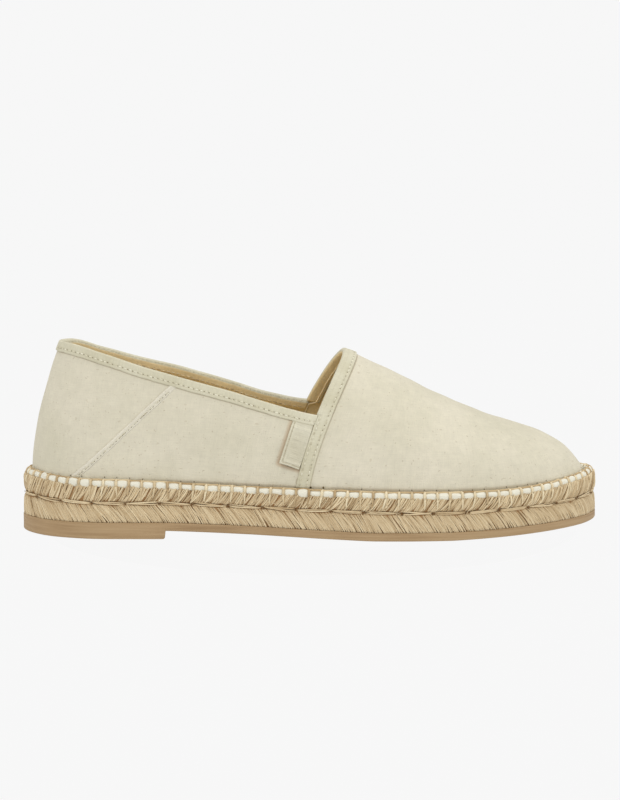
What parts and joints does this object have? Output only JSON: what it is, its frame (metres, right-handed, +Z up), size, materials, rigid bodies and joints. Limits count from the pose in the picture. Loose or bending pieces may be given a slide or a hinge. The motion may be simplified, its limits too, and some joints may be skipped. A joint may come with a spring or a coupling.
{
  "type": "espadrille",
  "caption": "Flat slip-on shoe for the right foot: soft canvas upper with bound collar and throat, corded edge, plaited jute sole and a moulded outsole with a low square heel.",
  "frame": {"origin": "middle of the sole's length and width, on the ground it stands on", "axes": "+X from heel to toe, +Y to the inner side of the foot, +Z up"},
  "size_m": [0.29, 0.1008, 0.0954],
  "materials": {
    "canvas": "matt ecru cotton canvas",
    "tape": "matt woven cotton tape",
    "jute": "natural plaited jute",
    "cord": "off-white cotton cord",
    "outsole_rubber": "matt tan moulded rubber",
    "lining": "matt golden tan cotton lining"
  },
  "bodies": {
    "root": {"outsole": "outsole_rubber", "jute_sole": "jute", "insole": "lining", "upper": "canvas", "welt_cord": "cord", "collar_binding": "tape", "throat_binding": "tape", "side_tab": "tape"}
  },
  "joints": []
}
